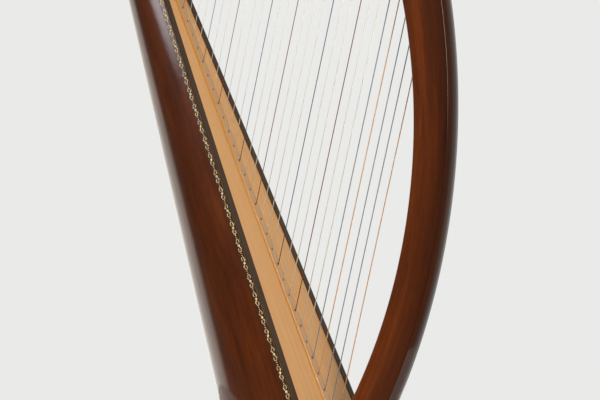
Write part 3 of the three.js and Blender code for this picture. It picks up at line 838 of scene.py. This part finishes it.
def eyelet_rings(string):
    """A small dark ferrule where a string rises through the rib."""
    radius = string_radius(string)
    profile = [
        (radius + 0.0006, -0.0003),
        (radius + 0.0014, -0.0003),
        (radius + 0.0014, 0.0002),
        (radius + 0.0010, 0.0005),
        (radius + 0.0006, 0.0003),
    ]
    return turned_on_board(profile, 20, GAP + RIB_THICKNESS, place_on_board(string))


eyelets = join_lofts("string_eyelets", [eyelet_rings(string) for string in STRINGS])
dress(eyelets, EBONY, "ebony")

# -------- gilt band along both sides


def side_point(side, behind, place, lift):
    """A point on the soundbox's side, this far behind the rim, lifted off the wood."""
    y = half_width(place) * other_share(max(behind, 0) / box_depth(place))
    return in_board(RIM - behind, side * (y + lift), place)


BAND_TOP = RIM + 0.0002  # from just under the dark strip, over the soundboard's edge


def band_point(side, across, place, lift):
    """A point on the gilt band, across from its middle line."""
    return side_point(side, BAND_TOP + BAND_WIDTH / 2 + across, place, lift)


def make_band_ground(side_name, side):
    half = BAND_WIDTH / 2
    outline = [(-half, -0.0007)] + [(across, BAND_GROUND_LIFT) for across in (-half, 0, half)]
    outline.append((half, -0.0002))
    rings = []
    for place in steps(BAND_LOW - 0.012, BOX_HIGH - 0.001, 48):
        rings.append([band_point(side, across, place, lift) for across, lift in outline])
    dress(loft(f"band_ground_{side_name}", rings), BAND_GROUND, "mahogany")


def boss_rings(side, place, radius, height):
    """A small dome."""
    rings = []
    for share in (1.0, 0.92, 0.7, 0.35, 0.08):
        lift = BAND_GROUND_LIFT + height * math.sqrt(1 - share * share)
        reach = radius * share
        rings.append([band_point(side, reach * c, place + reach * s, lift) for c, s in circle(10)])
    return rings


def stroke_rings(side, place, up, across_way, shape, count):
    """A raised stroke: shape(share) is how far across and along it is, and its radius."""
    strokes = [shape(share) for share in steps(0, 1, count)]
    path = []
    for across, along, _ in strokes:
        path.append(band_point(side, across_way * across, place + up * along, BAND_GROUND_LIFT + 0.0001))
    return tube_rings(path, [radius for _, _, radius in strokes], 6)


def scroll(share):
    """A C-shaped scroll that opens away from the boss, thinning towards its curled end."""
    turn = math.radians(-60 + 290 * share)
    thinning = 1 - 0.45 * share
    reach = 0.0027 * thinning
    return reach * math.cos(turn), 0.0072 + 1.25 * reach * math.sin(turn), 0.0007 * thinning


def leaf(share):
    """A short leaf that leaves the boss at a slant."""
    radius = 0.00022 + 0.00065 * math.sin(math.pi * share) ** 0.8
    return 0.0033 * share**0.7, 0.0022 + 0.0042 * share, radius


def make_band(side_name, side):
    """A dark band with a running pattern of bosses, leaves and scrolls in gold leaf."""
    make_band_ground(side_name, side)
    lofts = []
    for number in range(BAND_COUNT):
        place = BAND_LOW + BAND_PERIOD * number
        lofts.append(boss_rings(side, place, 0.0020, 0.0011))
        for up in (-1, 1):
            across_way = up if number % 2 else -up
            lofts.append(stroke_rings(side, place, up, across_way, scroll, 14))
            lofts.append(stroke_rings(side, place, up, -across_way, leaf, 6))
            lofts.append(boss_rings(side, place + up * 0.0122, 0.0009, 0.0007))
    dress(join_lofts(f"gilt_scroll_{side_name}", lofts, SOFT_ANGLE), GILT, "brass")


for side_name, side in SIDES:
    make_band(side_name, side)

# -------- shoulder block


def shoulder_outline(flare, squarer, sides=72):
    half = half_width(BOX_HIGH) + flare
    depth = box_depth(BOX_HIGH) - RIM + 2 * flare
    outline = []
    for turn in even_turns(sides):
        behind, y = rounded_back(turn, half, depth, BACK_SQUARENESS + squarer)
        outline.append((flare - behind, y))
    return outline


def make_shoulder():
    """The moulded block between the soundbox and the neck."""
    # Height above the soundbox, flare outward, and squareness gained.
    profile = [
        Vector((GAP, 0.0, 0.0)),
        Vector((0.004, 0.003, 0.12)),
        Vector((0.016, 0.005, 0.48)),
        Vector((0.032, 0.005, 0.96)),
        Vector((0.040, 0.003, 1.2)),
        Vector((SHOULDER_LENGTH - GAP, -0.001, 1.2)),
    ]
    rings = []
    for height, flare, squarer in [profile[0]] + catmull_rom(profile, 6):
        rings.append([in_board(x, y, BOX_HIGH + height) for x, y in shoulder_outline(flare, squarer)])
    shoulder = loft("shoulder_cap", rings)
    bevel(shoulder, 0.0012)
    return dress(shoulder, BOX_WOOD, "mahogany", replaced=["shoulder_block"])


make_shoulder()

# -------- pillar


def side_view(point):
    return Vector((point.x, point.z))


def from_last_string(x, z):
    return Vector((LAST_STRING_X + x, LAST_STRING_Z + z))


def pillar_half_depth(degrees):
    """The pillar is a little deeper towards both ends."""
    return PILLAR_MIDDLE_HALF_DEPTH + PILLAR_DEPTH_LEAN * degrees + PILLAR_DEPTH_FLARE * degrees**2


def bow_point(out, degrees, past=0.0):
    """A point of the bow, in side view: out is forward of its middle line, and past is along it."""
    angle = math.radians(degrees)
    radius = PILLAR_RADIUS + out
    return from_last_string(
        PILLAR_CENTRE[0] + radius * math.cos(angle) - past * math.sin(angle),
        PILLAR_CENTRE[1] + radius * math.sin(angle) + past * math.cos(angle),
    )


def pillar_outline(half):
    """Flat sides that end in a fine groove and a bead, a rounded front, and eased back corners."""
    side = PILLAR_THICKNESS / 2
    deep = PILLAR_FRONT_DEPTH
    wide = PILLAR_FRONT_WIDTH
    front = []
    for turn in steps(0, FRONT_END, 8):
        y = side - FRONT_SET_IN - wide + wide * math.sin(turn)
        front.append((half - deep + deep * math.cos(turn), y))
    lean = math.atan2(math.cos(FRONT_END) * wide, math.sin(FRONT_END) * deep)
    bead = BEAD_RADIUS
    fall = side - front[-1][1]
    bead_x = front[-1][0] - (bead + (fall - bead) * math.cos(lean)) / math.sin(lean)
    corner = []
    for turn in steps(lean, 0, 5):
        corner.append((bead_x + bead * math.sin(turn), side - bead + bead * math.cos(turn)))
    floor = side - GROOVE_DEPTH
    groove = [(bead_x - 0.0004, floor), (bead_x - 0.0011, floor), (bead_x - 0.0014, side)]
    ease = PILLAR_BACK_EASE
    back = []
    for turn in steps(0, math.pi / 2, 4):
        back.append((-half + ease - ease * math.sin(turn), side - ease + ease * math.cos(turn)))
    left = front + corner + groove + back
    right = [(x, -y) for x, y in reversed(left)]
    return left + right


def make_pillar():
    """The bow, from the base to the heel of the neck."""
    rings = []
    for degrees in steps(PILLAR_FOOT, PILLAR_TOP, 72):
        share = (degrees - PILLAR_FOOT) / (PILLAR_TOP - PILLAR_FOOT)
        middle = PILLAR_FOOT_Y + (PILLAR_TOP_Y - PILLAR_FOOT_Y) * share
        ring = []
        for out, aside in pillar_outline(pillar_half_depth(degrees)):
            point = bow_point(out, degrees)
            ring.append(Vector((point.x, middle + aside, point.y)))
        rings.append(ring)
    pillar = loft("pillar_bow", rings)
    trim(pillar, Vector((0, 0, BASE_TOP + GAP)), Vector((0, 0, -1)))
    trim(pillar, in_board(GAP, 0, 0), BOARD.to_3x3() @ Vector((-1, 0, 0)))
    store_bow_grain_and_painted_shade(pillar.data)
    return dress(pillar, PILLAR_WOOD, "mahogany", replaced=["pillar"])


def store_bow_grain_and_painted_shade(mesh):
    """Grain that bends with the bow, and a share of painted shade: none at the back, growing to all of it
    in front.
    """
    for name, kind in (("grain", "FLOAT_VECTOR"), ("shade", "FLOAT")):
        mesh.attributes.new(name, kind, "POINT")
    grain = mesh.attributes["grain"].data
    shade = mesh.attributes["shade"].data
    centre = from_last_string(*PILLAR_CENTRE)
    for vertex, bent, dark in zip(mesh.vertices, grain, shade):
        reach = side_view(vertex.co) - centre
        angle = math.atan2(reach.y, reach.x)
        bent.vector = (reach.length, vertex.co.y, PILLAR_RADIUS * angle)
        share = (reach.length - PILLAR_RADIUS) / pillar_half_depth(math.degrees(angle)) * 0.5 + 0.5
        dark.value = min(max(share, 0), 1)


make_pillar()

# -------- neck


def board_point(x, place):
    return side_view(in_board(x, 0, place))


def lower_edge(string):
    return side_view(along_string(string, string_length(string) * (1 - SEMITONE) - BELOW_LEVER))


def upper_edge(string):
    return side_view(along_string(string, string_length(string) + ABOVE_BRIDGE_PIN))


def neck_outline():
    """The harmonic curve, the heel on the pillar, the head and the hump over the shoulder."""
    seat = BOX_HIGH + SHOULDER_LENGTH
    shoulder_front = board_point(0, seat)
    seat_corner = board_point(-NECK_SEAT, seat)
    seat_back = board_point(HUMP_ROUND - NECK_SEAT, seat)
    hump_back = board_point(-NECK_SEAT, seat + HUMP_ROUND)
    heel_back = bow_point(-pillar_half_depth(PILLAR_TOP), PILLAR_TOP, GAP)
    heel_front = bow_point(pillar_half_depth(PILLAR_TOP), PILLAR_TOP, GAP)
    head_tip = from_last_string(*HEAD_TIP)
    head_top = from_last_string(*HEAD_TOP)
    under = [lower_edge(s) for s in (1, 4, 8, 12, 16, 20, 22)]
    over = [upper_edge(s) for s in (26, 22, 18, 14, 10, 6, 3, 1)]

    def swing(start, leave, arrive, end, count):
        """A curve from start to end, drawn by its handles' offsets from them."""
        return bezier(start, start + Vector(leave), end + Vector(arrive), end, count)

    line = [seat_back, shoulder_front]
    line += catmull_rom([shoulder_front] + under, 10)
    into_heel = heel_back + Vector((-0.040, 0.037))
    line += bezier(under[-1], into_heel, heel_back + Vector((-0.007, 0.032)), heel_back, 14)
    line.append(heel_front)
    line += swing(heel_front, (-0.011, 0.050), (-0.024, -0.062), head_tip, 16)
    line += swing(head_tip, (0.010, 0.028), (0.026, 0.012), head_top, 12)
    line += catmull_rom([head_top] + over, 10)
    line += swing(over[-1], (-0.030, 0.012), (-0.006, 0.078), hump_back, 16)
    handles = [end.lerp(seat_corner, 2 / 3) for end in (hump_back, seat_back)]
    line += bezier(hump_back, *handles, seat_back, 8)
    return line[:-1]


def make_neck():
    outline = neck_outline()
    rings = [[Vector((p.x, y, p.y)) for p in outline] for y in (NECK_LEFT, NECK_RIGHT)]
    neck = loft("neck_beam", rings)
    bevel(neck, NECK_EDGE, 5, 60)
    return dress(neck, NECK_WOOD, "mahogany", replaced=["neck"])


make_neck()


def make_bridge_pin(string):
    """A turned pin with a seat for its string and a small head."""
    shank = BRIDGE_PIN_RADIUS
    collar = shank + 0.0008
    seat = shank - 0.0003
    head = shank + 0.0004
    profile = [
        (collar, NECK_LEFT - 0.0002),
        (collar, NECK_LEFT + 0.0006),
        (shank, NECK_LEFT + 0.0010),
        (shank, -0.0016),
        (seat, -0.0005),
        (seat, 0.0005),
        (shank, 0.0016),
        (head, 0.0020),
        (head, 0.0030),
        (shank - 0.0006, BRIDGE_PIN_END),
    ]
    pin = loft(f"bridge_pin_{note_name(string)}", turned_along_y(profile, 20, bridge_pin_axis(string)))
    return dress(pin, NICKEL, "steel")


for string in STRINGS:
    make_bridge_pin(string)

# -------- strings


def string_look(string):
    note = NOTES[(string - 1) % 7]
    if string > NYLON_COUNT:
        return (WOUND_COPPER if note in "cf" else WOUND_SILVER), "wound_wire"
    return {"c": NYLON_RED, "f": NYLON_BLACK}.get(note, NYLON_CLEAR), "nylon"


def wind_radius(string):
    """From a tuning pin's axis to the middle of the string that lies on it."""
    clearance = 0.00005
    return TUNING_PIN_RADIUS + string_radius(string) + clearance


def make_string(string):
    """A string from its knot under the board, round its bridge pin, to its tuning pin."""
    radius = string_radius(string)
    knot = in_board(RIM - ANCHOR_THICKNESS, 0, place_on_board(string))
    foot = string_foot(string)
    bridge = along_string(string, string_length(string), GAP)
    pin = joint_place[f"tuning_pin_{note_name(string)}"]
    wind = Vector((pin.x, 0, pin.z)) - BASS_WAY * wind_radius(string)
    foot_bend = 0.0008  # half the length of each soft bend
    pin_bend = 0.001
    path = [knot, foot - (foot - knot).normalized() * foot_bend, foot + STRING_WAY * foot_bend]
    path += [bridge - STRING_WAY * pin_bend, bridge + (wind - bridge).normalized() * pin_bend, wind]
    rings = tube_rings(path, [radius] * len(path), 10)
    bead = [(radius, -0.0002), (0.0026, -0.0010), (0.0031, -0.0026), (0.0024, -0.0044), (0.0008, -0.0052)]
    knot_rings = turned_on_board(bead, 12, RIM - ANCHOR_THICKNESS, place_on_board(string))
    piece = join_lofts(f"string_{note_name(string)}", [rings, knot_rings], SOFT_ANGLE)
    look, slot = string_look(string)
    return dress(piece, look, slot)


for string in STRINGS:
    make_string(string)

anchor = strip_on_board(
    "string_anchor",
    RIM - ANCHOR_THICKNESS,
    RIM,
    lambda p: (-ANCHOR_HALF_WIDTH, ANCHOR_HALF_WIDTH),
    low=place_on_board(STRING_COUNT) - ANCHOR_SPARE,
    high=place_on_board(1) + ANCHOR_SPARE,
)
dress(anchor, BARE_WOOD, "maple", replaced=["nylon_strings", "wound_strings"])

# -------- tuning pins and their windings


def make_tuning_pin(string):
    """A round pin with a domed end at the strings and a tapered square end for the key."""
    body = f"tuning_pin_{note_name(string)}"
    centre = joint_place[body]

    radius = TUNING_PIN_RADIUS
    # Radius, place along the pin, and half the width between flats, where it has them.
    profile = [
        (radius * 0.45, TUNING_PIN_END, radius),
        (radius * 0.8, TUNING_PIN_END - 0.0003, radius),
        (radius, TUNING_PIN_END - 0.0010, radius),
        (radius, NECK_RIGHT - 0.0040, radius),
        (radius * 1.04, NECK_RIGHT - 0.0058, 0.0021),
        (radius * 1.02, NECK_RIGHT - 0.0155, 0.0018),
        (radius * 0.8, NECK_RIGHT - 0.0167, 0.0015),
        (radius * 0.5, NECK_RIGHT - 0.0170, 0.0010),
    ]
    rings = []
    for round_reach, y, flat in profile:
        ring = []
        for a, b in circle(32, 0.5):
            reach = min(flat / max(abs(a), abs(b)), round_reach)
            ring.append(centre + Vector((reach * a, y, reach * b)))
        rings.append(ring)
    pin = loft(f"{body}_shaft", rings, math.radians(30))
    dress(pin, NICKEL, "steel", body, [body])


def make_winding(string):
    """The string's turns round its pin, towards the neck, and its cut end."""
    body = f"tuning_pin_{note_name(string)}"
    radius = string_radius(string)
    turns = 4.25 if string <= 12 else 3.25  # thin strings need more
    pitch = -2.1 * radius
    path = []
    for turn in steps(0, turns, int(turns * 20)):
        angle = 2 * math.pi * turn
        out = BASS_WAY * -math.cos(angle) + STRING_WAY * math.sin(angle)
        path.append(joint_place[body] + Vector((0, pitch * turn, 0)) + out * wind_radius(string))
    piece = loft(f"winding_{note_name(string)}", tube_rings(path, [radius] * len(path), 8), SOFT_ANGLE)
    look, slot = string_look(string)
    dress(piece, look, slot, body)


for string in STRINGS:
    make_tuning_pin(string)
    make_winding(string)

# -------- sharping levers


def eased_slab(centre, outline, low, high, edge=0.0004):
    """Rings of a flat lever part from low to high along Y, its edges eased, in its rest position."""
    turn = Matrix.Rotation(LEVER_REST, 3, "Y")
    rings = []
    for y, inset in ((low, edge), (low + edge, 0), (high - edge, 0), (high, edge)):
        ring = []
        for x, z in outline:
            reach = Vector((x, z))
            reach -= reach.normalized() * inset
            ring.append(centre + turn @ Vector((reach.x, y, reach.y)))
        rings.append(ring)
    return rings


def handle_outline(start, middle, half, taper, round_end):
    """From start, where it is narrower by taper, to a round end about the point middle."""
    outline = [(start, -half * taper), (middle, -half)]
    for turn in steps(-math.pi / 2, math.pi / 2, 8)[1:-1]:
        outline.append((middle + round_end * math.cos(turn), half * math.sin(turn)))
    return outline + [(middle, half), (start, half * taper)]


def make_lever(string):
    """A turned spindle with a cam for the string, and a flat handle with a coloured grip."""
    body = f"lever_{note_name(string)}"
    centre = joint_place[body]
    hub = LEVER_HUB_RADIUS
    half = LEVER_HALF_WIDTH
    neck = hub - 0.0007  # of the spindle, where the string passes
    spindle = [
        (hub, NECK_LEFT + GAP),
        (hub, -0.0042),
        (neck, -0.0038),
        (neck, 0.0040),
        (hub, 0.0044),
        (hub, 0.0076),
        (hub - 0.0006, 0.0080),
    ]
    cam_turn = LEVER_REST + LEVER_THROW - STRING_LEAN  # so that the raised cam faces the string
    cam_rise = LEVER_ASIDE - string_radius(string) - GAP - hub
    cam = []
    for angle in steps(0, 2 * math.pi, 36)[:-1]:
        radius = hub + cam_rise * max(0.0, math.cos(angle - cam_turn)) ** 2
        cam.append((radius * math.cos(angle), radius * math.sin(angle)))
    length = LEVER_SHORTEST + LEVER_GROWTH * string_length(string) / string_length(STRING_COUNT)
    arm = handle_outline(0.001, length - half, half, 0.75, half)
    lofts = [
        turned_along_y(spindle, 24, centre),
        eased_slab(centre, cam, -0.002, 0.002),
        eased_slab(centre, arm, 0.0046, 0.0070),
    ]
    dress(join_lofts(f"{body}_metal", lofts), BRASS, "brass", body, [body])
    grip = handle_outline(length * 0.45, length - half, half + GRIP_PROUD, 0.9, half + 0.0006)
    cap = loft(f"{body}_grip", eased_slab(centre, grip, 0.0042, 0.0075, 0.0007))
    look = RED_CAP if note_name(string)[0] == "c" else BLUE_CAP
    dress(cap, look, "nylon", body)


def make_lever_plate(string):
    """The plate that a lever turns in, with two screws, on the neck's left face."""
    centre = joint_place[f"lever_{note_name(string)}"]
    turn = Matrix.Rotation(STRING_LEAN, 3, "Y")
    half = PLATE_HALF_WIDTH
    rise = PLATE_HALF_HEIGHT
    outline = []
    for end, start in ((1, 0), (-1, math.pi)):
        for t in steps(start, start + math.pi, 10):
            outline.append((half * math.cos(t), end * (rise - half) + half * math.sin(t)))
    rings = []
    for proud, inset in ((0.0001, 0), (0.0010, 0), (0.0014, 0.0004)):
        ring = []
        for x, z in outline:
            away = Vector((x * (1 - inset / half), NECK_LEFT + proud, z * (1 - inset / rise)))
            ring.append(centre + turn @ away)
        rings.append(ring)
    lofts = [rings]
    head = [(0.0019, NECK_LEFT + 0.0012), (0.0019, NECK_LEFT + 0.0019), (0.0012, NECK_LEFT + 0.0024)]
    for z in (-0.0088, 0.0088):
        lofts.append(turned_along_y(head, 16, centre + turn @ Vector((0, 0, z))))
    plate = join_lofts(f"lever_plate_{note_name(string)}", lofts)
    dress(plate, BRASS, "brass")


for string in STRINGS:
    if NOTES[(string - 1) % 7] in "cf":
        make_lever(string)
        make_lever_plate(string)

# -------- base and feet


def base_outline(inset, sides=64):
    """An egg-shaped plan: wide under the soundbox and narrower under the pillar."""
    half = BASE_HALF_WIDTH - inset
    lengthwise = 1 - inset / ((BASE_FRONT - BASE_BACK) / 2)
    outline = []
    for turn in steps(0, math.pi, sides):
        behind, y = rounded_back(turn, half, (BASE_WAIST - BASE_BACK) * lengthwise)
        outline.append((BASE_WAIST - behind, y))
    for turn in steps(0, math.pi, 40)[1:-1]:
        reach = (BASE_FRONT - BASE_WAIST) * lengthwise * math.sin(turn) ** 1.1
        outline.append((BASE_WAIST + reach, -half * math.cos(turn)))
    return outline


def make_base():
    """A moulded plinth: an eased lower edge, a plain band, a cove and a rounded top edge."""
    lower_edge_and_band = [(0.0, 0.004), (0.0012, 0.0018), (0.004, 0.0), (0.019, 0.0)]
    cove = [(0.0204, 0.0008), (0.021, 0.0026), (0.0222, 0.0042), (0.0245, 0.0050), (0.028, 0.0052)]
    top_edge = [(0.036, 0.0050), (0.0395, 0.0060), (0.0413, 0.0072), (0.042, 0.0095)]
    profile = lower_edge_and_band + cove + top_edge
    rings = []
    for height, inset in profile:
        z = BASE_BOTTOM + height
        rings.append([Vector((LAST_STRING_X + x, y, z)) for x, y in base_outline(inset)])
    base = loft("base_moulding", rings, math.radians(28))
    return dress(base, BASE_WOOD, "mahogany", replaced=["base"])


def make_foot(node):
    """A turned rubber foot, fullest at half its height."""
    low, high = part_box(node)
    centre = Vector(((low.x + high.x) / 2, (low.y + high.y) / 2, 0))
    lower = [(0.0115, 0.0), (0.0130, 0.0004), (0.0155, 0.0022), (0.0175, 0.0050), (0.0188, 0.0085)]
    upper = [(0.0190, 0.0112), (0.0182, 0.0143), (0.0160, 0.0172), (0.0135, 0.0196), (0.0130, high.z)]
    foot = loft(f"{node}_rubber", turned_along_z(lower + upper, 40, centre))
    return dress(foot, RUBBER, "rubber", replaced=[node])


make_base()
for end in ("front", "back"):
    for side_name in ("left", "right"):
        make_foot(f"foot_{end}_{side_name}")

# -------- floor, light and camera


def make_floor():
    look = Look("studio_floor")
    place = look.place()
    mottle = look.noise(place, 6, 3)
    look.finish(
        Base_Color=look.mix(look.grey(mottle, 0.0, 1.0), srgb(242, 241, 238), srgb(236, 235, 231)),
        Roughness=0.7,
    )
    ease = 0.0005
    profile = [(FLOOR_RADIUS, -0.006), (FLOOR_RADIUS, -ease), (FLOOR_RADIUS - ease, 0.0)]
    floor = loft("studio_floor", turned_along_z(profile, 128, Vector((0, 0, 0))))
    floor.data.materials.append(look.material)


def area_light(name, place, size, power):
    """A soft light that faces the middle of the harp and is never seen itself."""
    light = bpy.data.lights.new(name, "AREA")
    light.shape = "RECTANGLE"
    light.size, light.size_y = size
    light.energy = power
    lamp = add_object(name, light)
    lamp.location = place
    lamp.rotation_euler = (Vector((0, 0, 0.5)) - Vector(place)).to_track_quat("-Z", "Y").to_euler()
    lamp.visible_camera = False
    lamp.visible_glossy = False


class Sky(NodeTree):
    """The world, made of a dim room with soft bright patches in it."""

    def __init__(self, room, backdrop):
        world = bpy.data.worlds.new("studio")
        bpy.context.scene.world = world
        world.use_nodes = True
        self.tree = world.node_tree
        self.way = self.tree.nodes.new("ShaderNodeTexCoord").outputs["Generated"]
        self.light = self.tree.nodes.new("ShaderNodeRGB").outputs[0]
        self.light.default_value = (room, room, room, 1)
        self.backdrop = backdrop

    def patch(self, towards, inner, outer, color):
        """Brightens the sky round a direction: fully within inner degrees, not at all past outer."""
        towards = Vector(towards).normalized()
        near = self.node("ShaderNodeVectorMath", {0: self.way, 1: towards}, operation="DOT_PRODUCT")
        spread = self.node(
            "ShaderNodeMapRange",
            {
                "Value": near.outputs["Value"],
                "From Min": math.cos(math.radians(outer)),
                "From Max": math.cos(math.radians(inner)),
            },
            interpolation_type="SMOOTHSTEP",
        )
        self.light = self.mix(spread.outputs["Result"], self.light, color)

    def finish(self):
        """What the camera sees directly is the plain backdrop."""
        seen = self.node("ShaderNodeLightPath", {}).outputs["Is Camera Ray"]
        light = self.mix(seen, self.light, self.backdrop)
        self.feed(self.tree.nodes["Background"].inputs["Color"], light)


def make_world():
    """What the lacquer reflects: a pale wall behind, brightest at the left, a window and a lamp."""
    sky = Sky(0.025, srgb(234, 234, 232))
    sky.patch((0.75, 0.65, 0.0), 20, 75, (0.5, 0.5, 0.48, 1))
    sky.patch((-0.75, 0.66, -0.05), 38, 50, (1.25, 1.2, 1.1, 1))
    sky.patch((-0.58, -0.66, 0.48), 5, 13.5, (6.0, 6.0, 6.4, 1))
    sky.patch((0.50, -0.82, 0.22), 6, 14, (9.0, 8.3, 7.0, 1))
    sky.finish()


def make_camera():
    """Looks level at the middle of the strings, from the harp's right and a little from behind."""
    azimuth = math.radians(19.2)
    distance = 1.3285
    target = Vector((LAST_STRING_X - 0.0578, 0, 0.4748))
    camera = bpy.data.cameras.new("camera")
    camera.lens = 50
    camera.sensor_width = 36
    eye = add_object("camera", camera)
    eye.location = target + Vector((math.sin(azimuth), -math.cos(azimuth), 0)) * distance
    eye.rotation_euler = (math.pi / 2, 0, azimuth)
    bpy.context.scene.camera = eye


make_floor()
make_world()
make_camera()
area_light("key", (1.6, -1.8, 1.5), (1.4, 1.4), 49)
area_light("fill", (-1.3, -1.9, 0.9), (1.0, 1.4), 8)
area_light("back", (-0.6, 2.4, 1.8), (2.0, 1.4), 18)
bpy.context.scene.view_settings.view_transform = "Standard"
